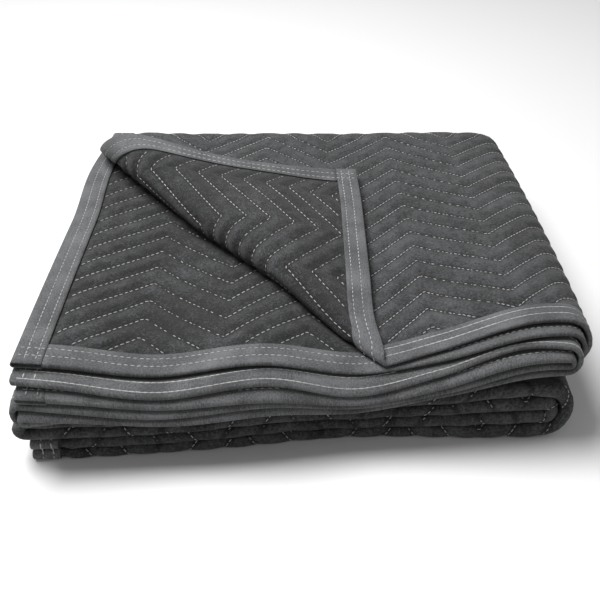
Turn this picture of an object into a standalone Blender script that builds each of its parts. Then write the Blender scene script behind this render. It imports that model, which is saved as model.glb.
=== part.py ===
"""A quilted moving blanket folded to sixteen plies, with its near left top corner turned back.

The blanket is modelled flat: s runs from its left to its right edge, t from its front to its back edge
and w up through the cloth. Four folds and the turned corner then place every point of it. Metres, +Z up,
origin at the middle of the pile on the surface that it lies on, front towards -Y.
"""

from math import hypot, pi

import bmesh
import bpy
import numpy as np

BLANKET_S = 2.03
BLANKET_T = 1.83
CLOTH = 0.0060  # quilted thickness
PLY_GAP = 0.0010
EDGE_CLOTH = 0.0014  # thickness where the binding presses it flat
PRESS_WIDTH = 0.012  # from full thickness down to that
BINDING_WIDTH = 0.026
BINDING_WALL = 0.0009
BINDING_ROUND = 0.0012
FIT = 0.0007  # between the cloth and its binding
BUTT = 0.0003  # between two bindings that meet at a corner
COLUMN_STEP = 0.075
ROW_STEP = 0.110
SMALL_ARC_STEPS = 3
LARGE_ARC_STEPS = 6

# The quilting: zigzag rows that run along s, one above the other along t.
QUILT_SPACING = 0.027
QUILT_HALF_PERIOD = 0.076
QUILT_RISE = 0.062  # from valley to apex of one row
QUILT_APEX = 0.0587
QUILT_DRIFT = -0.019  # how far the apexes wander along s for each metre of t
QUILT_DEPTH = 0.0013

# The turned corner: its fold line leaves the front edge at CORNER_S and the left edge at CORNER_T.
CORNER_S = 0.308
CORNER_T = 0.350
ROLL_TIGHT = 0.0068
ROLL_LOOSE = 0.0300
ROLL_STEPS = 8
SETTLE = 0.150  # how far past the roll the flap has sunk onto the ply
TIP_LIFT = 0.006
FLAP_SLACK = 0.95  # length of the slightly wavy flap over its flat length
SETTLE_CUTS = (0.045, 0.075, 0.105, 0.135, 0.165)  # cut lines past the fold, where the flap curves down
BARED_EXTRA = 0.03  # how far under the roll the bared ply has its quilting raised

# How far each bound front edge stands proud of the pile: s and reach, for the edge at t = 0.
NEAR_REACH = (
    (0.000, 0.000),
    (0.200, 0.000),
    (0.260, 0.001),
    (0.310, 0.008),
    (0.345, 0.004),
    (0.400, -0.006),
    (0.470, -0.015),
    (0.560, -0.016),
    (0.800, -0.010),
    (1.020, 0.016),
    (1.100, 0.021),
    (1.200, 0.023),
    (1.300, 0.025),
    (1.400, 0.020),
    (1.490, 0.012),
    (1.600, 0.014),
    (1.680, 0.023),
    (1.780, 0.026),
    (1.880, 0.021),
    (2.030, 0.016),
)
# The same for the edge at the blanket's full length.
FAR_REACH = (
    (0.000, -0.005),
    (0.100, -0.001),
    (0.180, 0.000),
    (0.260, 0.007),
    (0.340, 0.008),
    (0.470, -0.004),
    (0.560, -0.012),
    (0.800, -0.008),
    (1.020, 0.020),
    (1.100, 0.022),
    (1.200, 0.025),
    (1.300, 0.025),
    (1.400, 0.018),
    (1.490, 0.012),
    (1.600, 0.004),
    (1.660, 0.015),
    (1.740, 0.023),
    (1.820, 0.017),
    (1.920, 0.016),
    (2.030, 0.008),
)
DROOP_RADIUS = 0.030  # the edges that stand proud curve down round this

# How far the front of the whole pile stands forward: x and reach.
FRONT_LINE = (
    (-0.27, 0.006),
    (-0.20, 0.005),
    (-0.14, 0.003),
    (-0.06, 0.000),
    (0.04, -0.007),
    (0.10, -0.005),
    (0.16, 0.000),
    (0.27, 0.004),
)

# How far the plies have slid to the right: height as a share of the pile's, left end, right end.
SLIDE = (
    (0.00, -0.004, -0.011),
    (0.20, -0.004, -0.011),
    (0.40, -0.003, -0.009),
    (0.56, 0.004, -0.002),
    (0.72, 0.002, -0.001),
    (0.84, -0.003, -0.002),
    (0.92, -0.005, -0.002),
    (1.00, 0.003, -0.002),
)

# Height of the pile and how evenly its plies share it, along the front and along the back.
# Columns: x, front height, front evenness, back height, back evenness.
PILE_HEIGHT = (
    (-0.27, 0.130, 0.85, 0.112, 0.95),
    (-0.21, 0.123, 0.85, 0.112, 0.95),
    (-0.13, 0.105, 0.92, 0.111, 0.95),
    (-0.03, 0.114, 0.95, 0.111, 1.00),
    (0.05, 0.097, 1.00, 0.111, 1.00),
    (0.12, 0.111, 1.00, 0.112, 1.00),
    (0.20, 0.134, 1.05, 0.112, 1.00),
    (0.27, 0.129, 1.05, 0.110, 1.00),
)
NARROWING = 0.065  # how much less deep the pile is at its right end than at its left
TAPER = 0.060  # how much less wide it is at its back than at its front
LEAN = 0.0035  # how far its back has slid to the left
BULGE = 0.0065  # how far its left side swells out under the loose end of the roll
BULGE_START = 0.50  # where that begins, as a share of the pile's depth

CENTRE_X = 0.2479  # half the width and depth of the neatly folded pile
CENTRE_Y = 0.2257
MOVE_RIGHT = 0.0027  # this and the next put the middle of the finished footprint on the origin
MOVE_BACK = 0.0056
CLOTH_COLOUR = (0.078, 0.080, 0.084, 1.0)
BINDING_COLOUR = (0.150, 0.152, 0.158, 1.0)


def stack(height):
    """The height of a stack laid on itself."""
    return 2 * height + PLY_GAP


def arc_of(height):
    """The length of cloth, on average, that goes round the end of a stack of that height."""
    return pi * (height + PLY_GAP) / 2


HEIGHTS = [CLOTH]
for _ in range(4):
    HEIGHTS.append(stack(HEIGHTS[-1]))
ARCS = [arc_of(h) for h in HEIGHTS]
PILE = HEIGHTS[4]
HALF_T = (BLANKET_T - ARCS[0]) / 2
HALF_S = (BLANKET_S - ARCS[1]) / 2
QUARTER_S = (HALF_S - ARCS[2]) / 2
QUARTER_T = (HALF_T - ARCS[3]) / 2
FOLD_LENGTH = hypot(CORNER_S, CORNER_T)
FOLD_NORMAL = (CORNER_T / FOLD_LENGTH, CORNER_S / FOLD_LENGTH)
FOLD_REACH = CORNER_S * CORNER_T / FOLD_LENGTH
FLAP_TURN = pi * (ROLL_LOOSE - ROLL_TIGHT) / FOLD_LENGTH  # the cone of the roll turns the flap by this slope


def panel_lines(quarter, step):
    """Cut lines of one panel of the pile: beside its binding, then evenly up to its fold."""
    pressed = BINDING_WIDTH + FIT
    marks = [0.0, pressed, pressed + PRESS_WIDTH]
    return np.append(marks, np.linspace(marks[-1], quarter, round((quarter - marks[-1]) / step) + 1)[1:])


def side_lines(panel, half, whole):
    """Cut lines along a whole side. The panels repeat one panel's lines, so they meet in the pile."""
    large = np.linspace(panel[-1], half - panel[-1], LARGE_ARC_STEPS + 1)
    small = np.linspace(half, whole - half, SMALL_ARC_STEPS + 1)
    near = np.concatenate([panel, large, half - panel])
    lines = np.concatenate([near, small, whole - near])
    return [float(line) for line in np.unique(lines.round(7)) if 0 < line < whole]


PANEL_S = panel_lines(QUARTER_S, COLUMN_STEP)
PANEL_T = panel_lines(QUARTER_T, ROW_STEP)
S_LINES = side_lines(PANEL_S, HALF_S, BLANKET_S)
T_LINES = side_lines(PANEL_T, HALF_T, BLANKET_T)


def smooth(v):
    v = np.clip(v, 0, 1)
    return v * v * (3 - 2 * v)


def table(rows, column, x):
    """A column of a table read at x, on a smooth curve through its rows."""
    spots, values = np.array(rows)[:, 0], np.array(rows)[:, column]
    slopes = np.gradient(values, spots)
    at = np.clip(np.searchsorted(spots, x) - 1, 0, len(spots) - 2)
    step = spots[at + 1] - spots[at]
    u = np.clip((x - spots[at]) / step, 0, 1)
    near = (1 + 2 * u) * (1 - u) ** 2 * values[at] + u * (1 - u) ** 2 * step * slopes[at]
    return near + u * u * (3 - 2 * u) * values[at + 1] - u * u * (1 - u) * step * slopes[at + 1]


def fold_under(x, z, length, height):
    """Turns the far half of a stack under its near half."""
    arc = arc_of(height)
    start = (length - arc) / 2
    turn = np.clip((x - start) / arc, 0, 1) * pi
    radius = z + PLY_GAP / 2
    past = np.maximum(x - start - arc, 0)
    across = np.minimum(x, start) + radius * np.sin(turn) - past
    return across, height + PLY_GAP / 2 + radius * np.cos(turn)


def reach(rows, s):
    """How far a bound edge stands proud, straight between the cut lines, as the cloth and its binding are."""
    lines = np.array([0.0, *S_LINES, BLANKET_S])
    return np.interp(s, lines, table(rows, 1, lines))


def reach_forward(s, t):
    """Moves the bound front edges in or out, and less and less of the cloth behind them."""
    near = np.clip(1 - t / QUARTER_T, 0, 1) * reach(NEAR_REACH, s)
    far = np.clip(1 - (BLANKET_T - t) / QUARTER_T, 0, 1) * reach(FAR_REACH, s)
    return t - near + far


def turn_corner(x, y, w):
    """Rolls the near left corner of the top ply up and back over a cone, and lets it sink down again."""
    base = PILE - CLOTH
    toward = FOLD_REACH - x * FOLD_NORMAL[0] - y * FOLD_NORMAL[1]
    along = (y * FOLD_NORMAL[0] - (x - CORNER_S) * FOLD_NORMAL[1]) / FOLD_LENGTH
    roll = ROLL_TIGHT + (ROLL_LOOSE - ROLL_TIGHT) * np.clip(along, 0, 1)
    arc = pi * (roll - CLOTH / 2)
    start = -roll
    turn = np.clip((toward - start) / arc, 0, 1) * pi
    radius = roll - w
    past = np.maximum(toward - start - arc, 0)
    moved = np.minimum(toward, start) + radius * np.sin(turn) - past * FLAP_SLACK
    spare = 2 * roll - 2 * CLOTH - PLY_GAP
    sink = (spare - np.minimum(spare, TIP_LIFT)) * smooth(past / SETTLE)
    up = base + roll - radius * np.cos(turn) - sink
    across, aside = toward - moved, past * FLAP_TURN
    x = x + across * FOLD_NORMAL[0] - aside * FOLD_NORMAL[1]
    y = y + across * FOLD_NORMAL[1] + aside * FOLD_NORMAL[0]
    return x, y, up


def settle(x, y, z):
    """Gives the pile its uneven height: the plies press together in the middle and swell at the ends.

    The table is read at the cut lines and runs straight between them, as every ply does, so the
    plies stay apart.
    """
    back = np.clip((y + CENTRE_Y) / (2 * CENTRE_Y), 0, 1)
    read = [np.interp(x + CENTRE_X, PANEL_S, table(PILE_HEIGHT, k, PANEL_S - CENTRE_X)) for k in (1, 2, 3, 4)]
    height = read[0] * (1 - back) + read[2] * back
    even = read[1] * (1 - back) + read[3] * back
    share = np.minimum(z / PILE, 1)
    return height * (even * share + (1 - even) * share**3) + np.maximum(z - PILE, 0)


def place(s, t, w):
    """Where a point of the flat blanket lies in the folded pile."""
    y, z = fold_under(reach_forward(s, t), w, BLANKET_T, HEIGHTS[0])
    x, z = fold_under(s, z, BLANKET_S, HEIGHTS[1])
    x, z = fold_under(x, z, HALF_S, HEIGHTS[2])
    y, z = fold_under(y, z, HALF_T, HEIGHTS[3])
    top = (s < QUARTER_S) & (t < QUARTER_T)
    turned = turn_corner(x, y, w)
    x, y, z = (np.where(top, there, here) for there, here in zip(turned, (x, y, z)))
    return slump(x, y, z)


def slump(x, y, z):
    """Takes a point of the neatly folded pile, its corner at the origin, to where it has slumped."""
    right, back = x / (2 * CENTRE_X), np.clip(y / (2 * CENTRE_Y), 0, 1)
    share = np.clip(z / PILE, 0, 1)
    slide = table(SLIDE, 1, share) * (1 - right) + table(SLIDE, 2, share) * right
    droop = np.maximum(-y, 0) ** 2 / (2 * DROOP_RADIUS)
    x, y = x - CENTRE_X, y - CENTRE_Y
    up = settle(x, y, z) - droop
    forward = table(FRONT_LINE, 1, x) * (1 - back) ** 2
    y = CENTRE_Y - (CENTRE_Y - y) * (1 - NARROWING * right) - forward + MOVE_BACK
    bulge = BULGE * (1 - right) * np.sin(pi * np.clip((back - BULGE_START) / (1 - BULGE_START), 0, 1)) ** 2
    return x * (1 - TAPER * back**2) - LEAN * back**2 - bulge + slide + MOVE_RIGHT, y, up


def wave(v):
    """A triangle wave: 0 at whole numbers, 1 halfway between."""
    return 1 - np.abs(2 * (v - np.floor(v)) - 1)


def quilt_row(s, t):
    """Which zigzag row a point lies on: a whole number on its stitches."""
    across = (s - QUILT_DRIFT * t - QUILT_APEX) / (2 * QUILT_HALF_PERIOD)
    return (t - QUILT_RISE * (1 - wave(across))) / QUILT_SPACING


def cloth_face(s, t, upper, quilted):
    """The height of the cloth's upper or under face: pressed at the bound edges, sunk along the quilting."""
    edge = np.minimum(np.minimum(s, BLANKET_S - s), np.minimum(t, BLANKET_T - t))
    loft = smooth((edge - BINDING_WIDTH - FIT) / PRESS_WIDTH)
    half = (EDGE_CLOTH + (CLOTH - EDGE_CLOTH) * loft) / 2
    half = half - QUILT_DEPTH * loft * quilted * (1 - wave(quilt_row(s, t)))
    return CLOTH / 2 + np.where(upper, half, -half)


def cut(bm, faces, point, normal):
    """Cuts faces along the upright plane through a point (s, t)."""
    geometry = set(faces)
    for face in faces:
        geometry.update(face.edges)
        geometry.update(face.verts)
    bmesh.ops.bisect_plane(
        bm, geom=list(geometry), plane_co=(*point, 0), plane_no=(*normal, 0), dist=1e-6
    )


def on_top_ply(face):
    centre = face.calc_center_median()
    return centre.x < QUARTER_S and centre.y < QUARTER_T


def past_fold(centre):
    """How far a point of a ply that lies like the top one is on the corner's side of the fold line."""
    return FOLD_REACH - centre.x * FOLD_NORMAL[0] - centre.y * FOLD_NORMAL[1]


def cut_roll(bm):
    """Cuts the top ply along the fan of straight lines round which its corner rolls."""
    ends = ((CORNER_S, 0.0, ROLL_TIGHT), (0.0, CORNER_T, ROLL_LOOSE))
    shares = [pi * k / ROLL_STEPS for k in range(ROLL_STEPS + 1)]
    lines = [[(s, t, share * (roll - CLOTH / 2) - roll) for s, t, roll in ends] for share in shares]
    lines += [[(s, t, far) for s, t, _ in ends] for far in SETTLE_CUTS]
    for line in lines:
        (s0, t0), (s1, t1) = (
            (s - far * FOLD_NORMAL[0], t - far * FOLD_NORMAL[1]) for s, t, far in line
        )
        cut(bm, [f for f in bm.faces if on_top_ply(f)], (s0, t0), (t0 - t1, s1 - s0))


def cut_quilting(bm, faces_now):
    """Cuts faces along the zigzag rows and halfway between them."""
    spots = [f.calc_center_median() for f in faces_now()]
    low = min(p.x - QUILT_DRIFT * p.y for p in spots) - QUILT_HALF_PERIOD
    high = max(p.x - QUILT_DRIFT * p.y for p in spots) + QUILT_HALF_PERIOD
    first, last = (int((v - QUILT_APEX) // QUILT_HALF_PERIOD) for v in (low, high))
    for k in range(first, last + 1):
        cut(bm, faces_now(), (QUILT_APEX + k * QUILT_HALF_PERIOD, 0.0), (1.0, -QUILT_DRIFT))
    for k in range(first, last + 1):
        slope = QUILT_RISE / QUILT_HALF_PERIOD * (-1 if k % 2 == 0 else 1)
        normal = (-slope, 1 + slope * QUILT_DRIFT)
        near = QUILT_APEX + k * QUILT_HALF_PERIOD
        column = [f for f in faces_now() if near < drifted(f) < near + QUILT_HALF_PERIOD]
        if not column:
            continue
        start = QUILT_RISE if slope < 0 else 0.0
        heights = [f.calc_center_median().y for f in column]
        rows = range(
            int(2 * (min(heights) - 2 * QUILT_RISE) / QUILT_SPACING),
            int(2 * (max(heights) + QUILT_RISE) / QUILT_SPACING) + 1,
        )
        for row in rows:
            column = [f for f in faces_now() if near < drifted(f) < near + QUILT_HALF_PERIOD]
            cut(bm, column, (near, 0.5 * row * QUILT_SPACING + start), normal)


def drifted(face):
    centre = face.calc_center_median()
    return centre.x - QUILT_DRIFT * centre.y


def quilted_faces(bm):
    """The faces whose quilting is raised: the top ply's, the turned corner's and what that corner bares."""
    bound = BINDING_WIDTH + FIT

    def inside(centre):
        return min(centre.x, centre.y, BLANKET_T - centre.y) > bound and centre.x < QUARTER_S

    def zone(face):
        centre = face.calc_center_median()
        if not inside(centre) or abs(face.normal.z) < 0.5:
            return False
        if centre.y < QUARTER_T:
            return past_fold(centre) < 0 if face.normal.z > 0 else past_fold(centre) > 0
        centre.y = BLANKET_T - centre.y
        return centre.y < QUARTER_T and face.normal.z < 0 and past_fold(centre) > -BARED_EXTRA

    return [f for f in bm.faces if zone(f)]


def blanket_mesh():
    """The quilted cloth: a flat slab cut into strips, then pressed, quilted and folded."""
    bm = bmesh.new()
    bmesh.ops.create_cube(bm, size=1)
    inset = BINDING_WALL + FIT
    for v in bm.verts:
        v.co.x = inset if v.co.x < 0 else BLANKET_S - inset
        v.co.y = inset if v.co.y < 0 else BLANKET_T - inset
    for line in S_LINES:
        cut(bm, bm.faces[:], (line, 0.0), (1.0, 0.0))
    for line in T_LINES:
        cut(bm, bm.faces[:], (0.0, line), (0.0, 1.0))
    cut_roll(bm)
    cut_quilting(bm, lambda: quilted_faces(bm))
    quilted = {v for f in quilted_faces(bm) for v in f.verts}
    bmesh.ops.triangulate(bm, faces=[f for f in bm.faces if len(f.verts) > 4])
    verts = list(bm.verts)
    s, t, w = np.array([v.co for v in verts]).T
    mask = np.array([v in quilted for v in verts], float)
    return placed(bm, s, t, cloth_face(s, t, w > 0, mask))


def placed(bm, s, t, w):
    """A mesh from flat shapes, every point moved to where it lies in the pile.

    Every four-sided face is split along the same diagonal of the pile, so neighbouring plies bend alike.
    """
    for v, spot in zip(bm.verts, np.stack(place(s, t, w), axis=1)):
        v.co = spot
    for face in [f for f in bm.faces if len(f.verts) == 4]:
        corners = list(face.verts)
        across = [v.co.x + v.co.y for v in corners]
        low, high = across.index(min(across)), across.index(max(across))
        if abs(low - high) == 2:
            bmesh.utils.face_split(face, corners[low], corners[high])
    bmesh.ops.triangulate(bm, faces=[f for f in bm.faces if len(f.verts) > 3])
    mesh = bpy.data.meshes.new("folded")
    bm.normal_update()
    bm.to_mesh(mesh)
    bm.free()
    return mesh


def binding_section():
    """The folded tape round an edge: (distance in from the blanket's edge, height), counterclockwise."""
    inner = EDGE_CLOTH / 2 + FIT
    outer = inner + BINDING_WALL
    half = (
        (BINDING_WALL, inner),
        (BINDING_WIDTH, inner),
        (BINDING_WIDTH, outer),
        (BINDING_ROUND, outer),
        (0.0, outer - BINDING_ROUND),
    )
    above = [(across, CLOTH / 2 + up) for across, up in half]
    below = [(across, CLOTH / 2 - up) for across, up in reversed(half)]
    return above + below


def binding_mesh(along_t, far_side, covers_start):
    """One strip of binding, made straight along its edge of the flat blanket and folded with it.

    It covers the corner at one of its ends and butts against the next strip at the other.
    """
    bm = bmesh.new()
    length = BLANKET_T if along_t else BLANKET_S
    butted = BINDING_WIDTH + BUTT
    start, end = (0.0, length - butted) if covers_start else (butted, length)
    across_size = BLANKET_S if along_t else BLANKET_T

    def spot(along, across, up):
        across = across_size - across if far_side else across
        return (across, along, up) if along_t else (along, across, up)

    section = bm.faces.new([bm.verts.new(spot(start, *point)) for point in binding_section()])
    made = bmesh.ops.extrude_face_region(bm, geom=[section])["geom"]
    for v in [v for v in made if isinstance(v, bmesh.types.BMVert)]:
        if along_t:
            v.co.y = end
        else:
            v.co.x = end
    bmesh.ops.recalc_face_normals(bm, faces=bm.faces[:])
    for line in T_LINES if along_t else S_LINES:
        point, normal = ((0.0, line), (0.0, 1.0)) if along_t else ((line, 0.0), (1.0, 0.0))
        cut(bm, bm.faces[:], point, normal)
    cut_roll(bm)
    bmesh.ops.triangulate(bm, faces=[f for f in bm.faces if len(f.verts) > 4])
    s, t, w = np.array([v.co for v in bm.verts]).T
    return placed(bm, s, t, w)


def material(name, colour, roughness):
    made = bpy.data.materials.new(name)
    made.use_nodes = True
    shader = made.node_tree.nodes["Principled BSDF"]
    shader.inputs["Base Color"].default_value = colour
    shader.inputs["Roughness"].default_value = roughness
    shader.inputs["Metallic"].default_value = 0.0
    return made


def add_piece(collection, name, mesh, colour, roughness):
    mesh.name = name
    mesh.materials.append(material(name, colour, roughness))
    collection.objects.link(bpy.data.objects.new(name, mesh))


def main():
    for old in list(bpy.data.objects):
        bpy.data.objects.remove(old)
    pile = bpy.data.collections.new("moving_blanket_stack")
    bpy.context.scene.collection.children.link(pile)
    add_piece(pile, "quilted_blanket", blanket_mesh(), CLOTH_COLOUR, 0.95)
    strips = (
        ("binding_left", True, False, False),
        ("binding_right", True, True, True),
        ("binding_front", False, False, True),
        ("binding_back", False, True, False),
    )
    for name, *place_on_blanket in strips:
        add_piece(pile, name, binding_mesh(*place_on_blanket), BINDING_COLOUR, 0.85)


main()
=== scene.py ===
"""A quilted moving blanket, folded to sixteen plies with its near left top corner turned back.

The blanket is worked out flat: s runs from its left to its right edge, t from its front to its back edge
and w up through the cloth, all in metres. Four folds, the turned corner and the slump of the pile then
place each point. Every piece is made in this way, so the cloth, its binding and its thread stay together.
"""

from math import cos, hypot, pi, radians, sin

import bmesh
import bpy
import numpy as np
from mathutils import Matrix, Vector
from mathutils.bvhtree import BVHTree


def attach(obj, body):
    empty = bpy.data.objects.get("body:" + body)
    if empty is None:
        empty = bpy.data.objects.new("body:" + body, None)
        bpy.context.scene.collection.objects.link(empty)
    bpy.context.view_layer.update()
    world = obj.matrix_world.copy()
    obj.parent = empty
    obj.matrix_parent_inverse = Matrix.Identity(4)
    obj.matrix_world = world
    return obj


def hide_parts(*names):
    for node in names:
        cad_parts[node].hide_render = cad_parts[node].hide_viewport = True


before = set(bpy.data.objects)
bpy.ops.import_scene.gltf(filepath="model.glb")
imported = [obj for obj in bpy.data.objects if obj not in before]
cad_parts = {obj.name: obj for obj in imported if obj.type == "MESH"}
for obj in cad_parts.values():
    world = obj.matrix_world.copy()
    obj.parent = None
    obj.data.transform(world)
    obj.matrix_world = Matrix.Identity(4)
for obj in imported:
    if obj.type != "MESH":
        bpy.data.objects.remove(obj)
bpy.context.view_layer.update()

bl_info = {
    "name": "Folded moving blanket",
    "version": (1, 0, 0),
    "blender": (4, 5, 0),
    "location": "3D View > Sidebar > Blanket",
    "description": "Makes a quilted moving blanket with bound edges, folded into a stack",
    "category": "Add Mesh",
}

FIT = 0.0007  # between the cloth and its binding
BUTT = 0.0003  # between two bindings that meet at a corner
PRESS_WIDTH = 0.012  # from the cloth's full thickness down to the pressed edge
QUILT_APEX = 0.0587
QUILT_DRIFT = -0.019  # how far the apexes wander along s for each metre of t
PUCKER_DEPTH = 0.0013  # how far the quilting thread pulls each face in
SEAM_DEPTH = 0.0003  # how far the two rows of thread pull the binding in
SEAM_HALF_WIDTH = 0.0022

# The turned corner: its fold line leaves the front edge at CORNER_S and the left edge at CORNER_T.
CORNER_S = 0.308
CORNER_T = 0.350
ROLL_TIGHT = 0.0068
ROLL_LOOSE = 0.0300
SETTLE = 0.150  # how far past the roll the flap has sunk onto the ply
TIP_LIFT = 0.006
FLAP_SLACK = 0.95  # length of the slightly wavy flap over its flat length
ROLL_CUTS = 14
ROLL_CUT_REACH = (-0.05, 0.08)  # how far the cuts reach, measured from the fold line
ROLL_STRIP_REACH = 0.09  # the binding's finer stretch, either way from the fold line
ROLL_STRIP_STEP = 0.003

# How far each bound front edge stands proud of the pile: s and reach, for the edge at t = 0.
NEAR_REACH = (
    (0.000, 0.000),
    (0.200, 0.000),
    (0.260, 0.001),
    (0.310, 0.008),
    (0.345, 0.004),
    (0.400, -0.006),
    (0.470, -0.015),
    (0.560, -0.016),
    (0.800, -0.010),
    (1.020, 0.016),
    (1.100, 0.021),
    (1.200, 0.023),
    (1.300, 0.025),
    (1.400, 0.020),
    (1.490, 0.012),
    (1.600, 0.014),
    (1.680, 0.023),
    (1.780, 0.026),
    (1.880, 0.021),
    (2.030, 0.016),
)
# The same for the edge at the blanket's full length.
FAR_REACH = (
    (0.000, -0.005),
    (0.100, -0.001),
    (0.180, 0.000),
    (0.260, 0.007),
    (0.340, 0.008),
    (0.470, -0.004),
    (0.560, -0.012),
    (0.800, -0.008),
    (1.020, 0.020),
    (1.100, 0.022),
    (1.200, 0.025),
    (1.300, 0.025),
    (1.400, 0.018),
    (1.490, 0.012),
    (1.600, 0.004),
    (1.660, 0.015),
    (1.740, 0.023),
    (1.820, 0.017),
    (1.920, 0.016),
    (2.030, 0.008),
)
DROOP_RADIUS = 0.030  # the edges that stand proud curve down round this

# How far the front of the whole pile stands forward: x and reach.
FRONT_LINE = (
    (-0.27, 0.006),
    (-0.20, 0.005),
    (-0.14, 0.003),
    (-0.06, 0.000),
    (0.04, -0.007),
    (0.10, -0.005),
    (0.16, 0.000),
    (0.27, 0.004),
)

# How far the plies have slid to the right: height as a share of the pile's, left end, right end.
SLIDE = (
    (0.00, -0.004, -0.011),
    (0.20, -0.004, -0.011),
    (0.40, -0.003, -0.009),
    (0.56, 0.004, -0.002),
    (0.72, 0.002, -0.001),
    (0.84, -0.003, -0.002),
    (0.92, -0.005, -0.002),
    (1.00, 0.003, -0.002),
)

# Height of the pile and how evenly its plies share it, along the front and along the back.
# Columns: x, front height, front evenness, back height, back evenness.
PILE_HEIGHT = (
    (-0.27, 0.130, 0.85, 0.112, 0.95),
    (-0.21, 0.123, 0.85, 0.112, 0.95),
    (-0.13, 0.105, 0.92, 0.111, 0.95),
    (-0.03, 0.114, 0.95, 0.111, 1.00),
    (0.05, 0.097, 1.00, 0.111, 1.00),
    (0.12, 0.111, 1.00, 0.112, 1.00),
    (0.20, 0.134, 1.05, 0.112, 1.00),
    (0.27, 0.129, 1.05, 0.110, 1.00),
)
NARROWING = 0.065  # how much less deep the pile is at its right end than at its left
TAPER = 0.060  # how much less wide it is at its back than at its front
LEAN = 0.0035  # how far its back has slid to the left
BULGE = 0.0065  # how far its left side swells out under the loose end of the roll
BULGE_START = 0.50  # where that begins, as a share of the pile's depth
CENTRE_X = 0.2479
CENTRE_Y = 0.2257
MOVE_RIGHT = 0.0027
MOVE_BACK = 0.0056

FINE = 0.0066  # mesh step on the two plies that show their faces
COARSE = 0.0185
ARC_STEPS = (8, 10, 12, 14)  # mesh steps round each of the four folds, from the tightest
EDGE_MARKS = (0.0135, 0.0265, 0.0295, 0.0325, 0.0355, 0.0385)
STRIP_STEP = 0.0075
STRIP_LEAST_STEP = 0.0004
STRIP_TURN = (0.0, 0.45, 0.9, 1.25)  # angles of its points round the edge
STRIP_MARKS = (0.005, 0.0075, 0.015)  # its points across each face, besides those at the rows of thread
SEAM_ROWS = (0.0104, 0.0200)  # rows of thread on the binding, from its outer edge
SEAM_END = 0.006
# How much nearer the edge the rows run on the lower bound edges: at t = 0 and at the far one.
SEAM_SHIFT = (0.0015, 0.0060)
SEAM_SAMPLE = 0.004  # from one point of a row to the next
THREAD_CLEAR = 0.0001  # thread over the face that it lies on
UNDER_DARKER = 0.050  # the under face's cover cloth is a little darker
TAPE_THREAD = 0.0008  # from one thread of the tape's weave to the next
ROW_SHARE = 48  # points on each zigzag of a quilting row
QUILT_LOOSENESS = 0.10  # how unevenly the stitches point
SEAM_LOOSENESS = 0.04

FLOOR_HALF = 6
KEY_PLACE = (-0.60, 0.06, 1.7)
KEY_TARGET = (0, 0.1, 0)
KEY_SIZE = 1.0
KEY_POWER = 59
SKY_STRENGTH = 0.42
CAMERA_PLACE = (0.0002, -0.7534, 0.6094)
CAMERA_DOWN = radians(38.56)  # below the horizon
CAMERA_TURN = radians(0.318)
CAMERA_LENS, CAMERA_SENSOR = 51.17, 36.0  # in millimetres


def length_prop(name, description, default):
    return bpy.props.FloatProperty(
        name=name, description=description, default=default, unit="LENGTH", subtype="DISTANCE", precision=4
    )


def colour_prop(name, description, default):
    return bpy.props.FloatVectorProperty(
        name=name, description=description, default=default, size=3, min=0.0, max=1.0, subtype="COLOR"
    )


class BlanketSizes(bpy.types.PropertyGroup):
    width: length_prop("Width", "Flat blanket from its left to its right edge", 2.03)
    length: length_prop("Length", "Flat blanket from its front to its back edge", 1.83)
    cloth: length_prop("Thickness", "Quilted cloth as it lies in the stack", 0.0060)
    gap: length_prop("Ply gap", "Air between two plies", 0.0010)
    pressed: length_prop("Edge thickness", "Cloth where the binding presses it flat", 0.0014)
    tape_width: length_prop("Binding width", "Binding on each face of the cloth", 0.026)
    tape_wall: length_prop("Binding thickness", "One layer of the binding tape", 0.0009)
    row_spacing: length_prop("Row spacing", "From one quilting row to the next", 0.027)
    half_period: length_prop("Zigzag half width", "From an apex of a row to its next valley", 0.076)
    row_rise: length_prop("Zigzag height", "From a valley of a row to its apex", 0.062)


class ThreadSizes(bpy.types.PropertyGroup):
    thickness: length_prop("Thickness", "Thickness of the sewing thread", 0.0011)
    pitch: length_prop("Stitch pitch", "From one stitch to the next, apart from the upper quilting", 0.0056)
    stitch: length_prop("Stitch length", "Thread that shows in one of those stitches", 0.0043)
    upper_pitch: length_prop("Upper stitch pitch", "From one upper quilting stitch to the next", 0.0046)
    upper_stitch: length_prop("Upper stitch length", "Thread that shows in one of those stitches", 0.0039)
    seam_stitch: length_prop("Edge stitch length", "Thread that shows on the binding's upper face", 0.0068)
    seam_thickness: length_prop("Edge thread thickness", "Thickness of the thread on that face", 0.0014)


class BlanketColours(bpy.types.PropertyGroup):
    cloth: colour_prop("Cloth", "Colour of the quilted cloth", (0.0375, 0.0384, 0.0400))
    tape: colour_prop("Binding", "Colour of the binding tape", (0.0742, 0.0755, 0.0780))
    thread: colour_prop("Thread", "Colour of the sewing thread", (0.27, 0.27, 0.27))
    floor: colour_prop("Floor", "Colour of the floor", (0.62, 0.62, 0.62))


def smooth(v):
    v = np.clip(v, 0, 1)
    return v * v * (3 - 2 * v)


def table(rows, column, x):
    """A column of a table read at x, on a smooth curve through its rows."""
    spots, values = np.array(rows)[:, 0], np.array(rows)[:, column]
    slopes = np.gradient(values, spots)
    at = np.clip(np.searchsorted(spots, x) - 1, 0, len(spots) - 2)
    step = spots[at + 1] - spots[at]
    u = np.clip((x - spots[at]) / step, 0, 1)
    near = (1 + 2 * u) * (1 - u) ** 2 * values[at] + u * (1 - u) ** 2 * step * slopes[at]
    return near + u * u * (3 - 2 * u) * values[at + 1] - u * u * (1 - u) * step * slopes[at + 1]


def wave(v):
    """A triangle wave: 0 at whole numbers, 1 halfway between."""
    return 1 - np.abs(2 * (v - np.floor(v)) - 1)


def spread(start, end, step):
    """Even marks after start, up to end, about step apart."""
    return np.linspace(start, end, max(1, round((end - start) / step)) + 1)[1:]


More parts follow.
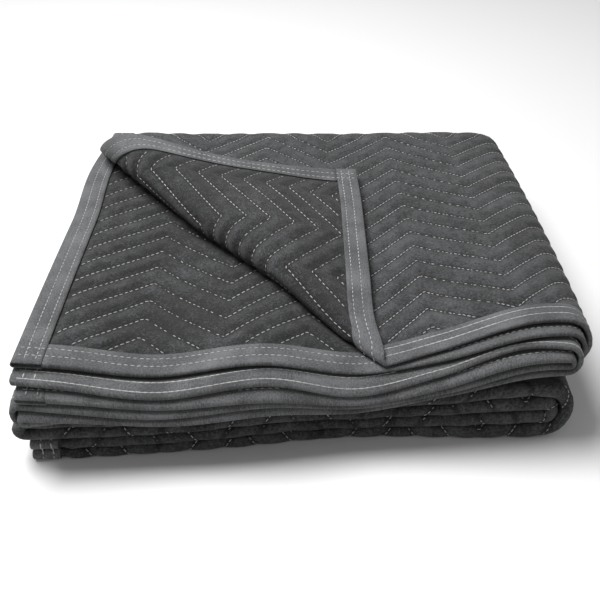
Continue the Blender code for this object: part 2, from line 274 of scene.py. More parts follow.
class Pile:
    """The folded blanket as a rule that takes a point of the flat blanket to its place in the pile."""

    def __init__(self, sizes):
        self.sizes = sizes
        self.s, self.t = sizes.width, sizes.length
        self.cloth, self.gap = sizes.cloth, sizes.gap
        heights = [sizes.cloth]
        for _ in range(4):
            heights.append(2 * heights[-1] + sizes.gap)
        self.heights = heights
        self.arcs = [pi * (h + sizes.gap) / 2 for h in heights]
        self.half_t = (self.t - self.arcs[0]) / 2
        self.half_s = (self.s - self.arcs[1]) / 2
        self.quarter_s = (self.half_s - self.arcs[2]) / 2
        self.quarter_t = (self.half_t - self.arcs[3]) / 2
        fold = hypot(CORNER_S, CORNER_T)
        self.fold = fold
        self.normal = (CORNER_T / fold, CORNER_S / fold)
        self.fold_reach = CORNER_S * CORNER_T / fold
        self.flap_turn = pi * (ROLL_LOOSE - ROLL_TIGHT) / fold

    def fold_under(self, x, z, length, height):
        """Turns the far half of a stack under its near half."""
        arc = pi * (height + self.gap) / 2
        start = (length - arc) / 2
        turn = np.clip((x - start) / arc, 0, 1) * pi
        radius = z + self.gap / 2
        past = np.maximum(x - start - arc, 0)
        across = np.minimum(x, start) + radius * np.sin(turn) - past
        return across, height + self.gap / 2 + radius * np.cos(turn)

    def reach_forward(self, s, t):
        """Moves the bound front edges in or out, and less and less of the cloth behind them."""
        near = np.clip(1 - t / self.quarter_t, 0, 1) * table(NEAR_REACH, 1, s)
        far = np.clip(1 - (self.t - t) / self.quarter_t, 0, 1) * table(FAR_REACH, 1, s)
        return t - near + far

    def turn_corner(self, x, y, w):
        """Rolls the near left corner of the top ply up and back over a cone, and lets it sink down again."""
        nx, ny = self.normal
        toward = self.fold_reach - x * nx - y * ny
        along = (y * nx - (x - CORNER_S) * ny) / self.fold
        roll = ROLL_TIGHT + (ROLL_LOOSE - ROLL_TIGHT) * np.clip(along, 0, 1)
        arc = pi * (roll - self.cloth / 2)
        turn = np.clip((toward + roll) / arc, 0, 1) * pi
        radius = roll - w
        past = np.maximum(toward + roll - arc, 0)
        moved = np.minimum(toward, -roll) + radius * np.sin(turn) - past * FLAP_SLACK
        spare = 2 * roll - 2 * self.cloth - self.gap
        sink = (spare - np.minimum(spare, TIP_LIFT)) * smooth(past / SETTLE)
        up = self.heights[4] - self.cloth + roll - radius * np.cos(turn) - sink
        across, aside = toward - moved, past * self.flap_turn
        return x + across * nx - aside * ny, y + across * ny + aside * nx, up

    def settle(self, x, y, z):
        """Gives the pile its uneven height: the plies press together in the middle and swell at the ends."""
        back = np.clip((y + CENTRE_Y) / (2 * CENTRE_Y), 0, 1)
        read = [table(PILE_HEIGHT, k, x) for k in (1, 2, 3, 4)]
        height = read[0] * (1 - back) + read[2] * back
        even = read[1] * (1 - back) + read[3] * back
        share = np.minimum(z / self.heights[4], 1)
        return height * (even * share + (1 - even) * share**3) + np.maximum(z - self.heights[4], 0)

    def place(self, s, t, w):
        """Where a point of the flat blanket lies in the pile, as rows of x, y and z."""
        y, z = self.fold_under(self.reach_forward(s, t), w, self.t, self.heights[0])
        x, z = self.fold_under(s, z, self.s, self.heights[1])
        x, z = self.fold_under(x, z, self.half_s, self.heights[2])
        y, z = self.fold_under(y, z, self.half_t, self.heights[3])
        top = (s < self.quarter_s) & (t < self.quarter_t)
        turned = self.turn_corner(x, y, w)
        x, y, z = (np.where(top, there, here) for there, here in zip(turned, (x, y, z)))
        return self.slump(x, y, z)

    def slump(self, x, y, z):
        """Takes a point of the neatly folded pile, its corner at the origin, to where it has slumped."""
        right, back = x / (2 * CENTRE_X), np.clip(y / (2 * CENTRE_Y), 0, 1)
        share = np.clip(z / self.heights[4], 0, 1)
        slide = table(SLIDE, 1, share) * (1 - right) + table(SLIDE, 2, share) * right
        droop = np.maximum(-y, 0) ** 2 / (2 * DROOP_RADIUS)
        x, y = x - CENTRE_X, y - CENTRE_Y
        up = self.settle(x, y, z) - droop
        forward = table(FRONT_LINE, 1, x) * (1 - back) ** 2
        y = CENTRE_Y - (CENTRE_Y - y) * (1 - NARROWING * right) - forward + MOVE_BACK
        swell = np.sin(pi * np.clip((back - BULGE_START) / (1 - BULGE_START), 0, 1)) ** 2
        x = x * (1 - TAPER * back**2) - LEAN * back**2 - BULGE * (1 - right) * swell + slide + MOVE_RIGHT
        return np.stack([x, y, up], axis=-1)

    def quilt_row(self, s, t):
        """Which zigzag row a point lies on: a whole number on its stitches."""
        across = (s - QUILT_DRIFT * t - QUILT_APEX) / (2 * self.sizes.half_period)
        return (t - self.sizes.row_rise * (1 - wave(across))) / self.sizes.row_spacing

    def edge_distance(self, s, t):
        return np.minimum(np.minimum(s, self.s - s), np.minimum(t, self.t - t))

    def half_cloth(self, s, t):
        """Half the cloth's thickness: pressed at the bound edges, pulled in along the quilting."""
        loft = smooth((self.edge_distance(s, t) - self.sizes.tape_width - FIT) / PRESS_WIDTH)
        half = (self.sizes.pressed + (self.cloth - self.sizes.pressed) * loft) / 2
        puff = np.cos(pi * self.quilt_row(s, t)) ** 2
        return half - PUCKER_DEPTH * loft * puff**2

    def half_strip(self, across):
        """Half the thickness over a bound edge, outside the tape: pulled in along its two rows of thread."""
        half = self.sizes.pressed / 2 + FIT + self.sizes.tape_wall
        for row in SEAM_ROWS:
            half = half - SEAM_DEPTH * (1 - smooth(np.abs(across - row) / SEAM_HALF_WIDTH))
        return half


def new_object(name, mesh, material):
    mesh.name = name
    mesh.materials.clear()
    mesh.materials.append(material)
    made = bpy.data.objects.new(name, mesh)
    bpy.context.scene.collection.objects.link(made)
    mesh.polygons.foreach_set("use_smooth", [True] * len(mesh.polygons))
    return made


def flat_map(mesh, middle=0.0):
    """Keeps each point's place on the flat blanket, in metres, and its side of the cloth as UV maps."""
    flat = np.empty(len(mesh.vertices) * 3)
    mesh.vertices.foreach_get("co", flat)
    flat = flat.reshape(-1, 3)
    corners = np.empty(len(mesh.loops), int)
    mesh.loops.foreach_get("vertex_index", corners)
    mesh.uv_layers.new(name="flat").data.foreach_set("uv", flat[corners, :2].ravel())
    under = (flat[corners, 2] < middle).astype(float)
    mesh.uv_layers.new(name="side").data.foreach_set("uv", np.repeat(under, 2))
    return flat


def slab(s_marks, t_marks):
    """A closed flat slab with points at every crossing of the marks, its two faces at w = 1 and w = -1."""
    ns, nt = len(s_marks), len(t_marks)
    s, t = (a.ravel() for a in np.meshgrid(s_marks, t_marks, indexing="ij"))
    verts = np.concatenate([np.stack([s, t, np.full_like(s, w)], axis=1) for w in (1.0, -1.0)])
    at = np.arange(ns * nt).reshape(ns, nt)
    upper = np.stack([at[:-1, :-1], at[1:, :-1], at[1:, 1:], at[:-1, 1:]], axis=-1).reshape(-1, 4)
    round_edge = np.concatenate([at[:-1, 0], at[-1, :-1], at[:0:-1, -1], at[0, :0:-1]])
    ahead, below = np.roll(round_edge, -1), ns * nt
    rim = np.stack([round_edge + below, ahead + below, ahead, round_edge], axis=1)
    faces = np.concatenate([upper, upper[:, ::-1] + below, rim])
    mesh = bpy.data.meshes.new("slab")
    mesh.from_pydata(verts.tolist(), [], faces.tolist())
    return mesh


def cut_roll(mesh, pile):
    """Cuts the top ply along the fan of straight lines round which its corner rolls."""
    bm = bmesh.new()
    bm.from_mesh(mesh)
    nx, ny = pile.normal
    ends = ((CORNER_S, 0.0, ROLL_TIGHT), (0.0, CORNER_T, ROLL_LOOSE))
    for step in range(ROLL_CUTS + 1):
        share = pi * step / ROLL_CUTS
        marks = [(s, t, share * (roll - pile.cloth / 2) - roll) for s, t, roll in ends]
        (s0, t0), (s1, t1) = ((s - far * nx, t - far * ny) for s, t, far in marks)
        geometry = set()
        for face in bm.faces:
            centre = face.calc_center_median()
            far = pile.fold_reach - centre.x * nx - centre.y * ny
            on_top = centre.x < pile.quarter_s and centre.y < pile.quarter_t
            if on_top and ROLL_CUT_REACH[0] < far < ROLL_CUT_REACH[1]:
                geometry.update((face, *face.edges, *face.verts))
        bmesh.ops.bisect_plane(
            bm, geom=list(geometry), plane_co=(s0, t0, 0), plane_no=(t0 - t1, s1 - s0, 0), dist=1e-6
        )
    bmesh.ops.triangulate(bm, faces=[f for f in bm.faces if len(f.verts) > 4])
    bm.to_mesh(mesh)
    bm.free()


def side_marks(pile):
    """Where the blanket's mesh has its lines, along s and along t."""
    inset = pile.sizes.tape_wall + FIT
    edge = np.array([inset, *EDGE_MARKS])

    def near(quarter, half, fold, panel_step):
        panel = spread(edge[-1], quarter, panel_step)
        bend = spread(quarter, half - quarter, (half - 2 * quarter) / ARC_STEPS[fold])
        return np.concatenate([edge, panel, bend, spread(half - quarter, half, COARSE)])

    def whole(first, last, half, length, fold):
        middle = spread(half, length - half, (length - 2 * half) / ARC_STEPS[fold])
        return np.unique(np.concatenate([first, middle, length - last]).round(7))

    s_first, s_last = (near(pile.quarter_s, pile.half_s, 2, step) for step in (FINE, COARSE))
    t_first = near(pile.quarter_t, pile.half_t, 3, FINE)
    return whole(s_first, s_last, pile.half_s, pile.s, 1), whole(t_first, t_first, pile.half_t, pile.t, 0)


def blanket_mesh(pile):
    mesh = slab(*side_marks(pile))
    cut_roll(mesh, pile)
    s, t, w = flat_map(mesh).T
    half = pile.half_cloth(s, t)
    spots = pile.place(s, t, pile.cloth / 2 + np.where(w > 0, half, -half))
    mesh.vertices.foreach_set("co", spots.ravel())
    mesh.update()
    return mesh


def strip_section(pile):
    """The tape round an edge: (distance in from the blanket's edge, height), counterclockwise."""
    sizes = pile.sizes
    inner = sizes.pressed / 2 + FIT
    width, lip = sizes.tape_width, sizes.tape_wall / 2
    marks = np.unique(
        [*STRIP_MARKS, width - 0.003]
        + [row + k * SEAM_HALF_WIDTH / 2 for row in SEAM_ROWS for k in (-2, -1, 0, 1, 2)]
    )
    outside = [(a, float(pile.half_strip(a))) for a in marks]
    radius = float(pile.half_strip(0.0))
    bend = [(radius * (1 - cos(a)), radius * sin(a)) for a in STRIP_TURN]
    end = [(width - lip * 0.4, inner + 2 * lip * 0.94), (width, inner + lip), (width - lip * 0.4, inner)]
    half = bend + outside + end + [(width * 0.6, inner), (sizes.tape_wall + 0.0002, inner)]
    lower = [(across, -up) for across, up in half]
    return [(across, up + pile.cloth / 2) for across, up in lower[1:] + half[::-1]]


def strip_mesh(pile, along_t, far_side, covers_start):
    """One strip of binding, laid straight along its edge of the flat blanket and folded with it."""
    length, across_size = (pile.t, pile.s) if along_t else (pile.s, pile.t)
    butted = pile.sizes.tape_width + BUTT
    start, end = (0.0, length - butted) if covers_start else (butted, length)
    marks = {*spread(start, end, STRIP_STEP).round(7), start}
    folds = ((pile.half_t, 0), (pile.quarter_t, 3)) if along_t else ((pile.half_s, 1), (pile.quarter_s, 2))
    for begin, fold in folds:
        bend = np.linspace(begin, begin + pile.arcs[fold], ARC_STEPS[fold] + 1)
        marks.update(m for m in (*bend.round(7), *(length - bend).round(7)) if start < m < end)
    if not far_side:
        reach = pile.quarter_t if along_t else pile.quarter_s
        corner = CORNER_T if along_t else CORNER_S
        near_roll = np.arange(corner - ROLL_STRIP_REACH, corner + ROLL_STRIP_REACH, ROLL_STRIP_STEP)
        marks.update(near_roll.clip(start, reach).round(7))
    marks = np.array(sorted(marks))
    marks = marks[np.append(True, np.diff(marks) > STRIP_LEAST_STEP)]
    marks[-1] = end
    section = np.array(strip_section(pile))
    n, k = len(marks), len(section)
    along = np.repeat(marks, k)
    across, w = np.tile(section, (n, 1)).T
    across = across_size - across if far_side else across
    s, t = (across, along) if along_t else (along, across)
    at = np.arange(n * k).reshape(n, k)
    turned = np.roll(at, -1, axis=1)
    sides = np.stack([at[:-1], at[1:], turned[1:], turned[:-1]], axis=-1).reshape(-1, 4)
    mesh = bpy.data.meshes.new("strip")
    ends = [at[0].tolist(), at[-1, ::-1].tolist()]
    mesh.from_pydata(np.stack([s, t, w], axis=1).tolist(), [], sides.tolist() + ends)
    bm = bmesh.new()
    bm.from_mesh(mesh)
    bmesh.ops.recalc_face_normals(bm, faces=bm.faces)
    bmesh.ops.triangulate(bm, faces=[f for f in bm.faces if len(f.verts) > 4])
    bm.to_mesh(mesh)
    bm.free()
    s, t, w = flat_map(mesh, pile.cloth / 2).T
    mesh.vertices.foreach_set("co", pile.place(s, t, w).ravel())
    mesh.update()
    return mesh


def open_to_view(tree, spot, out):
    """Whether a stitch can be seen from outside: some line from it gets away from the pile."""
    side = out.orthogonal().normalized()
    other = out.cross(side)
    start = spot + out * 0.0012
    looks = [out] + [out + side * a + other * b for a in (-0.8, 0.8) for b in (-0.8, 0.8)]
    return any(tree.ray_cast(start, look, 1.5)[0] is None for look in looks)


def seen_runs(pile, tree, s, t, w, upper):
    """Splits a line of thread on one face of the flat blanket into the runs that can be seen in the pile."""
    lift = 0.001 if upper else -0.001
    spots, above = pile.place(s, t, w), pile.place(s, t, w + lift)
    outs = (above - spots) / np.linalg.norm(above - spots, axis=1)[:, None]
    seen = [open_to_view(tree, Vector(a), Vector(b)) for a, b in zip(spots, outs)]
    runs, run = [], []
    for k, shown in enumerate(seen + [False]):
        if shown:
            run.append(k)
        elif run:
            if len(run) > 1:
                runs.append((spots[run], outs[run]))
            run = []
    return runs


def quilting_lines(pile, tree, upper):
    """The visible runs of the zigzag rows on one face of the blanket."""
    sizes = pile.sizes
    clear = sizes.tape_width + 0.003
    turns = np.arange(int(pile.s / (2 * sizes.half_period) + 3) * ROW_SHARE) / ROW_SHARE - 1
    runs = []
    for row in range(-3, int(pile.t / sizes.row_spacing) + 1):
        t = row * sizes.row_spacing + sizes.row_rise * (1 - wave(turns))
        s = turns * 2 * sizes.half_period + QUILT_APEX + QUILT_DRIFT * t
        on = pile.edge_distance(s, t) > clear
        for part in np.split(np.arange(len(s)), np.flatnonzero(np.diff(on.astype(int))) + 1):
            if on[part[0]] and len(part) > 1:
                half = pile.half_cloth(s[part], t[part]) + THREAD_CLEAR
                w = pile.cloth / 2 + (half if upper else -half)
                runs += seen_runs(pile, tree, s[part], t[part], w, upper)
    return runs


def seam_lines(pile, tree, upper):
    """The visible runs of the two rows of thread that sew the binding down, on one face."""
    runs = []
    for along_t in (True, False):
        length, across_size = (pile.t, pile.s) if along_t else (pile.s, pile.t)
        for row in SEAM_ROWS:
            half = float(pile.half_strip(row)) + THREAD_CLEAR
            for across in (row, across_size - row):
                along = np.arange(SEAM_END, length - SEAM_END, SEAM_SAMPLE)
                level = np.full_like(along, across)
                s, t = (level, along) if along_t else (along, level)
                if not along_t:
                    low = smooth((s - pile.half_s) / (pile.quarter_s / 2))
                    t = t - SEAM_SHIFT[0] * low if across == row else t + SEAM_SHIFT[1] * low
                w = np.full_like(along, pile.cloth / 2 + (half if upper else -half))
                runs += seen_runs(pile, tree, s, t, w, upper)
    return runs


def lines_mesh(runs):
    """Runs of thread as a mesh of edges that keeps the direction away from the cloth at each point."""
    spots = np.concatenate([run[0] for run in runs])
    outs = np.concatenate([run[1] for run in runs])
    firsts = np.cumsum([0] + [len(run[0]) for run in runs])
    edges = [(k, k + 1) for a, b in zip(firsts[:-1], firsts[1:]) for k in range(a, b - 1)]
    mesh = bpy.data.meshes.new("thread")
    mesh.from_pydata(spots.tolist(), edges, [])
    mesh.attributes.new("away", "FLOAT_VECTOR", "POINT").data.foreach_set("vector", outs.ravel())
    return mesh


def stitch_tree(material):
    """Geometry nodes that lay a slim rounded stitch at every pitch along lines of thread."""
    tree = bpy.data.node_groups.new("stitches", "GeometryNodeTree")
    face = tree.interface
    face.new_socket("Geometry", in_out="INPUT", socket_type="NodeSocketGeometry")
    for name in ("Pitch", "Stitch length", "Thickness", "Looseness"):
        face.new_socket(name, in_out="INPUT", socket_type="NodeSocketFloat")
    face.new_socket("Seed", in_out="INPUT", socket_type="NodeSocketInt")
    face.new_socket("Geometry", in_out="OUTPUT", socket_type="NodeSocketGeometry")

    def node(kind, settings=None, inputs=None):
        made = tree.nodes.new(kind)
        for key, value in (settings or {}).items():
            setattr(made, key, value)
        for key, value in (inputs or {}).items():
            if isinstance(value, bpy.types.NodeSocket):
                tree.links.new(value, made.inputs[key])
            else:
                made.inputs[key].default_value = value
        return made

    given = node("NodeGroupInput").outputs
    line = node("GeometryNodeMeshToCurve", {}, {"Mesh": given["Geometry"]})
    points = node(
        "GeometryNodeResampleCurve", {"mode": "LENGTH"}, {"Curve": line.outputs[0], "Length": given["Pitch"]}
    )
    tangent = node("GeometryNodeInputTangent")
    away = node("GeometryNodeInputNamedAttribute", {"data_type": "FLOAT_VECTOR"}, {"Name": "away"})
    loose = node(
        "FunctionNodeRandomValue",
        {"data_type": "FLOAT_VECTOR"},
        {"Min": (-1.0, -1.0, -1.0), "Max": (1.0, 1.0, 1.0), "Seed": given["Seed"]},
    )
    shift = node(
        "ShaderNodeVectorMath",
        {"operation": "SCALE"},
        {0: loose.outputs["Value"], "Scale": given["Looseness"]},
    )
    heading = node(
        "ShaderNodeVectorMath", {"operation": "ADD"}, {0: tangent.outputs[0], 1: shift.outputs[0]}
    )
    turn = node(
        "FunctionNodeAxesToRotation",
        {"primary_axis": "X", "secondary_axis": "Z"},
        {0: heading.outputs[0], 1: away.outputs[0]},
    )
    ball = node("GeometryNodeMeshUVSphere", {}, {"Segments": 6, "Rings": 4, "Radius": 0.5})
    lying = node(
        "GeometryNodeTransform", {}, {"Geometry": ball.outputs[0], "Rotation": (0.0, pi / 2, 0.0)}
    )
    size = node(
        "ShaderNodeCombineXYZ", {}, {0: given["Stitch length"], 1: given["Thickness"], 2: given["Thickness"]}
    )
    laid = node(
        "GeometryNodeInstanceOnPoints",
        {},
        {
            "Points": points.outputs[0],
            "Instance": lying.outputs[0],
            "Rotation": turn.outputs[0],
            "Scale": size.outputs[0],
        },
    )
    real = node("GeometryNodeRealizeInstances", {}, {0: laid.outputs[0]})
    finished = node("GeometryNodeSetMaterial", {}, {0: real.outputs[0], "Material": material})
    node("NodeGroupOutput", {}, {0: finished.outputs[0]})
    return tree


def sewn(name, runs, material, sizes, seed):
    """A piece of thread: stitches laid along the runs by geometry nodes, then made a plain mesh."""
    guide = new_object(f"{name}_guide", lines_mesh(runs), material)
    tree = stitch_tree(material)
    modifier = guide.modifiers.new("stitches", "NODES")
    modifier.node_group = tree
    values = {**sizes, "Seed": seed}
    for item in tree.interface.items_tree:
        if item.in_out == "INPUT" and item.name in values:
            modifier[item.identifier] = values[item.name]
    graph = bpy.context.evaluated_depsgraph_get()
    mesh = bpy.data.meshes.new_from_object(guide.evaluated_get(graph))
    guide.modifiers.remove(modifier)
    bpy.data.objects.remove(guide)
    return new_object(name, mesh, material)


class Number:
    """One value that varies over a surface. Sums on it add Math nodes to the finish."""

    def __init__(self, finish, socket):
        self.finish, self.socket = finish, socket

    def _math(self, operation, *values):
        return self.finish.number("ShaderNodeMath", {"operation": operation}, dict(enumerate(values)))

    def __add__(self, other):
        return self._math("ADD", self, other)

    def __sub__(self, other):
        return self._math("SUBTRACT", self, other)

    def __rsub__(self, other):
        return self._math("SUBTRACT", other, self)

    def __mul__(self, other):
        return self._math("MULTIPLY", self, other)

    def __truediv__(self, other):
        return self._math("DIVIDE", self, other)

    def __abs__(self):
        return self._math("ABSOLUTE", self)

    __rmul__ = __mul__

    def fraction(self):
        return self._math("FRACT", self)

    def sine(self):
        return self._math("SINE", self)

    def wave(self):
        """A triangle wave: 0 at whole numbers, 1 halfway between."""
        return 1 - abs(2 * self.fraction() - 1)

    def ease(self, low, high):
        """0 below low, 1 above high, smooth between."""
        return self.finish.number(
            "ShaderNodeMapRange",
            {"interpolation_type": "SMOOTHSTEP"},
            {"Value": self, "From Min": low, "From Max": high},
        )


class Finish:
    """A material under construction."""

    def __init__(self, name):
        self.material = bpy.data.materials.new(name)
        self.material.use_nodes = True
        self.tree = self.material.node_tree
        self.shader = self.tree.nodes["Principled BSDF"]
        self.flat = self.node("ShaderNodeUVMap", {"uv_map": "flat"}).outputs[0]
        parts = self.node("ShaderNodeSeparateXYZ", {}, {0: self.flat})
        self.s, self.t = Number(self, parts.outputs[0]), Number(self, parts.outputs[1])
        side = self.node("ShaderNodeUVMap", {"uv_map": "side"}).outputs[0]
        self.under = Number(self, self.node("ShaderNodeSeparateXYZ", {}, {0: side}).outputs[0])

    def put(self, socket, value):
        if isinstance(value, Number):
            value = value.socket
        if isinstance(value, bpy.types.NodeSocket):
            self.tree.links.new(value, socket)
        else:
            socket.default_value = value

    def node(self, kind, settings=None, inputs=None):
        made = self.tree.nodes.new(kind)
        for key, value in (settings or {}).items():
            setattr(made, key, value)
        for key, value in (inputs or {}).items():
            self.put(made.inputs[key], value)
        return made

    def number(self, kind, settings=None, inputs=None):
        return Number(self, self.node(kind, settings, inputs).outputs[0])

    def noise(self, stretch, detail=2.0, roughness=0.5):
        """Noise on the flat cloth, with so many cells a metre along s and along t. About 0 to 1."""
        place = self.node(
            "ShaderNodeVectorMath", {"operation": "MULTIPLY"}, {0: self.flat, 1: (*stretch, 1.0)}
        )
        return self.number(
            "ShaderNodeTexNoise",
            {"noise_dimensions": "2D"},
            {"Vector": place.outputs[0], "Scale": 1.0, "Detail": detail, "Roughness": roughness},
        )

    def mixed(self, share, first, second):
        made = self.node("ShaderNodeMix", {"data_type": "RGBA"}, {0: share, 6: first, 7: second})
        return made.outputs[2]

    def relief(self, height):
        """Bumps of a height in metres."""
        made = self.node("ShaderNodeBump", {}, {"Strength": 1.0, "Distance": 1.0, "Height": height})
        self.put(self.shader.inputs["Normal"], made.outputs[0])

    def set(self, **values):
        for name, value in values.items():
            self.put(self.shader.inputs[name.replace("_", " ")], value)


def shade(colour, share):
    return (*(min(1.0, c * share) for c in colour), 1.0)


def cloth_finish(sizes, colour):
    """Matt napped cover cloth of pressed fibres, drawn in and puckered along the quilting rows, with shade
    painted into its colour next to each row.
    """
    f = Finish("quilted cover cloth")
    across = (f.s - QUILT_DRIFT * f.t - QUILT_APEX) / (2 * sizes.half_period)
    row = (f.t - sizes.row_rise * (1 - across.wave())) / sizes.row_spacing
    off = row.wave() * (sizes.row_spacing / 2 * 0.78)
    # painted shade: the colour is darkened right next to each quilting row, where the pulled-in valleys lie
    # in shade
    painted_stitch_shade = 1 - off.ease(0.0, 0.0035)
    pucker = f.noise((150.0, 45.0), 2.0) * (1 - off.ease(0.0015, 0.010))
    fibre = f.noise((560.0, 700.0), 4.0, 0.75)
    streak = f.noise((260.0, 900.0), 3.0, 0.7)
    cloud = f.noise((14.0, 14.0), 3.0, 0.55)
    blotch = f.noise((75.0, 75.0), 3.0, 0.6)
    lump = f.noise((340.0, 340.0), 2.0, 0.6)
    puff = off.ease(0.0, 0.0105)
    tone = 0.34 * fibre + 0.22 * streak + 0.14 * lump + 0.14 * cloud + 0.16 * blotch
    # subtracts the painted shade along the quilting rows, and the under face's darker cloth
    tone = tone - 0.10 * painted_stitch_shade - UNDER_DARKER * f.under
    f.set(
        Base_Color=f.mixed(tone.ease(0.40, 0.60), shade(colour, 0.35), shade(colour, 1.75)),
        Roughness=0.93,
        Sheen_Weight=0.04,
        Sheen_Roughness=0.6,
        Specular_IOR_Level=0.3,
    )
    f.relief(0.0018 * pucker + 0.0042 * puff + 0.0011 * fibre + 0.0005 * lump + 0.0012 * blotch)
    return f.material


def tape_finish(colour):
    """Closely woven tape: fine threads both ways, a little uneven."""
    f = Finish("binding tape")
    weave = (f.s * (pi / TAPE_THREAD)).sine() * (f.t * (pi / TAPE_THREAD)).sine()
    fibre = f.noise((650.0, 650.0), 3.0, 0.7)
    cloud = f.noise((25.0, 25.0), 3.0, 0.55)
    tone = 0.6 * fibre + 0.4 * cloud + 0.05 * weave
    f.set(
        Base_Color=f.mixed(tone.ease(0.38, 0.62), shade(colour, 0.60), shade(colour, 1.40)),
        Roughness=0.85,
        Sheen_Weight=0.04,
        Specular_IOR_Level=0.35,
    )
    f.relief(0.00008 * weave + 0.0007 * fibre + 0.0016 * f.noise((70.0, 70.0), 2.0))
    return f.material


def thread_finish(colour):
    """Pale twisted sewing thread."""
    f = Finish("sewing thread")
    spot = f.node("ShaderNodeTexCoord").outputs["Object"]
    lint = f.number("ShaderNodeTexNoise", {}, {"Vector": spot, "Scale": 700.0, "Detail": 1.0})
    patch = f.number("ShaderNodeTexNoise", {}, {"Vector": spot, "Scale": 40.0, "Detail": 1.0})
    tone = 0.5 * lint + 0.5 * patch
    f.set(Base_Color=f.mixed(tone.ease(0.3, 0.7), shade(colour, 0.7), shade(colour, 1.25)), Roughness=0.7)
    f.relief(0.00008 * lint)
    return f.material


def floor_finish(colour):
    """Pale seamless studio floor."""
    f = Finish("studio floor")
    spot = f.node("ShaderNodeTexCoord").outputs["Object"]
    cloud = f.number("ShaderNodeTexNoise", {}, {"Vector": spot, "Scale": 3.0, "Detail": 2.0})
    f.set(Base_Color=f.mixed(cloud, shade(colour, 0.99), shade(colour, 1.01)), Roughness=0.9)
    return f.material


def finish(name, make, *given):
    """A material by its name, made the first time that it is asked for."""
    return bpy.data.materials.get(name) or make(*given)


def used_finishes(scene):
    sizes, colours = scene.blanket_sizes, scene.blanket_colours
    return (
        finish("quilted cover cloth", cloth_finish, sizes, colours.cloth),
        finish("binding tape", tape_finish, colours.tape),
        finish("sewing thread", thread_finish, colours.thread),
    )


def piece_tree(*names):
    """The faces of finished pieces, for telling which stitches can be seen."""
    spots, faces = [], []
    for name in names:
        mesh = bpy.data.objects[name].data
        first = len(spots)
        spots += [v.co.copy() for v in mesh.vertices]
        faces += [[k + first for k in p.vertices] for p in mesh.polygons]
    return BVHTree.FromPolygons(spots, faces)


STRIPS = {
    "sewn_binding_left": ("binding_left", True, False, False),
    "sewn_binding_right": ("binding_right", True, True, True),
    "sewn_binding_front": ("binding_front", False, False, True),
    "sewn_binding_back": ("binding_back", False, True, False),
}


class BLANKET_OT_cloth(bpy.types.Operator):
    """Makes the folded quilted cloth"""

    bl_idname = "blanket.cloth"
    bl_label = "Quilted cloth"

    def execute(self, context):
        pile = Pile(context.scene.blanket_sizes)
        cloth = new_object("folded_quilted_cloth", blanket_mesh(pile), used_finishes(context.scene)[0])
        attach(cloth, "root")
        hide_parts("quilted_blanket")
        return {"FINISHED"}


class BLANKET_OT_binding(bpy.types.Operator):
    """Makes the four strips of binding round the edges"""

    bl_idname = "blanket.binding"
    bl_label = "Binding"

    def execute(self, context):
        sizes = context.scene.blanket_sizes
        pile = Pile(sizes)
        for name, (node, *lie) in STRIPS.items():
            strip = new_object(name, strip_mesh(pile, *lie), used_finishes(context.scene)[1])
            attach(strip, "root")
            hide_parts(node)
            length = (pile.t if lie[0] else pile.s) - sizes.tape_width - BUTT
            2 * sizes.tape_width + 2 * float(pile.half_strip(0.0))
        return {"FINISHED"}


class BLANKET_OT_stitching(bpy.types.Operator):
    """Sews the zigzag quilting and the binding's two rows of stitches, wherever they can be seen"""

    bl_idname = "blanket.stitching"
    bl_label = "Stitching"

    def execute(self, context):
        pile, thread = Pile(context.scene.blanket_sizes), context.scene.blanket_thread
        material = used_finishes(context.scene)[2]
        tree = piece_tree("folded_quilted_cloth", *STRIPS)
        plain = {"Pitch": thread.pitch, "Thickness": thread.thickness, "Looseness": QUILT_LOOSENESS}
        dashes = {**plain, "Stitch length": thread.stitch}
        close = {**plain, "Pitch": thread.upper_pitch, "Stitch length": thread.upper_stitch}
        line = {
            "Pitch": thread.pitch,
            "Stitch length": thread.seam_stitch,
            "Thickness": thread.seam_thickness,
            "Looseness": SEAM_LOOSENESS,
        }
        jobs = (
            ("quilting_thread_upper", quilting_lines, True, close, "quilted_cloth"),
            ("quilting_thread_under", quilting_lines, False, dashes, "quilted_cloth"),
            ("binding_thread_upper", seam_lines, True, line, "binding_tape"),
            ("binding_thread_under", seam_lines, False, dashes, "binding_tape"),
        )
        for seed, (name, lines, upper, stitch_sizes, slot) in enumerate(jobs):
            piece = sewn(name, lines(pile, tree, upper), material, stitch_sizes, seed)
            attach(piece, "root")
            print(name, len(piece.data.polygons), "faces")
        return {"FINISHED"}


def area_light(name, place, target, size, power):
    light = bpy.data.lights.new(name, "AREA")
    light.shape, light.size, light.energy = "DISK", size, power
    made = bpy.data.objects.new(name, light)
    made.location = place
    made.rotation_euler = (Vector(target) - Vector(place)).to_track_quat("-Z", "Y").to_euler()
    bpy.context.scene.collection.objects.link(made)


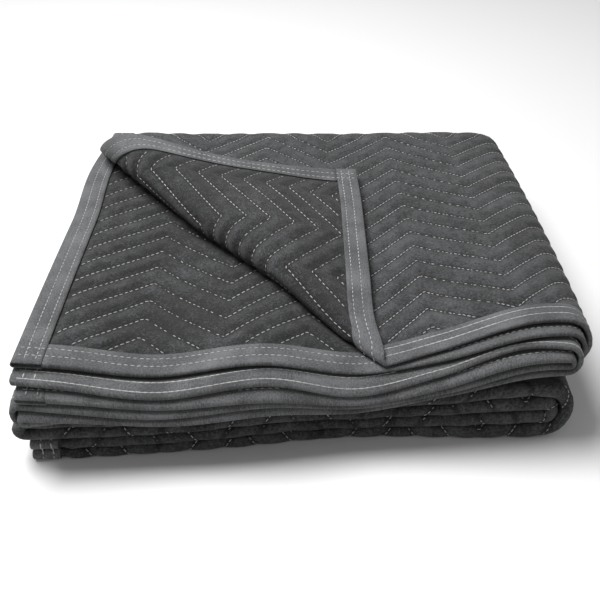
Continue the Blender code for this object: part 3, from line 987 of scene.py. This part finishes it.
class BLANKET_OT_studio(bpy.types.Operator):
    """Makes the floor, the lights and the camera"""

    bl_idname = "blanket.studio"
    bl_label = "Studio"

    def execute(self, context):
        scene = context.scene
        mesh = bpy.data.meshes.new("floor")
        far = FLOOR_HALF
        mesh.from_pydata([(-far, -far, 0), (far, -far, 0), (far, far, 0), (-far, far, 0)], [], [(0, 1, 2, 3)])
        floor = new_object("floor", mesh, floor_finish(scene.blanket_colours.floor))
        area_light("key softbox", KEY_PLACE, KEY_TARGET, KEY_SIZE, KEY_POWER)
        world = scene.world or bpy.data.worlds.new("studio")
        scene.world = world
        world.use_nodes = True
        back = world.node_tree.nodes["Background"]
        back.inputs["Color"].default_value = (1.0, 1.0, 1.0, 1.0)
        back.inputs["Strength"].default_value = SKY_STRENGTH
        scene.view_settings.view_transform = "Standard"
        lens = bpy.data.cameras.new("camera")
        lens.lens, lens.sensor_width = CAMERA_LENS, CAMERA_SENSOR
        camera = bpy.data.objects.new("camera", lens)
        camera.location = CAMERA_PLACE
        camera.rotation_euler = (pi / 2 - CAMERA_DOWN, 0.0, CAMERA_TURN)
        scene.collection.objects.link(camera)
        scene.camera = camera
        return {"FINISHED"}


class BLANKET_PT_panel(bpy.types.Panel):
    bl_idname = "BLANKET_PT_panel"
    bl_label = "Folded moving blanket"
    bl_space_type = "VIEW_3D"
    bl_region_type = "UI"
    bl_category = "Blanket"

    def draw(self, context):
        scene = context.scene
        for group in (scene.blanket_sizes, scene.blanket_thread, scene.blanket_colours):
            for name in group.__annotations__:
                self.layout.prop(group, name)
        for operator in OPERATORS:
            self.layout.operator(operator.bl_idname)


GROUPS = {
    "blanket_sizes": BlanketSizes,
    "blanket_thread": ThreadSizes,
    "blanket_colours": BlanketColours,
}
OPERATORS = (BLANKET_OT_cloth, BLANKET_OT_binding, BLANKET_OT_stitching, BLANKET_OT_studio)


def register():
    for made in (*GROUPS.values(), *OPERATORS, BLANKET_PT_panel):
        bpy.utils.register_class(made)
    for name, group in GROUPS.items():
        setattr(bpy.types.Scene, name, bpy.props.PointerProperty(type=group))


def unregister():
    for name in GROUPS:
        delattr(bpy.types.Scene, name)
    for made in reversed((*GROUPS.values(), *OPERATORS, BLANKET_PT_panel)):
        bpy.utils.unregister_class(made)


def main():
    register()
    bpy.ops.blanket.cloth()
    bpy.ops.blanket.binding()
    bpy.ops.blanket.stitching()
    bpy.ops.blanket.studio()


if __name__ == "__main__":
    main()
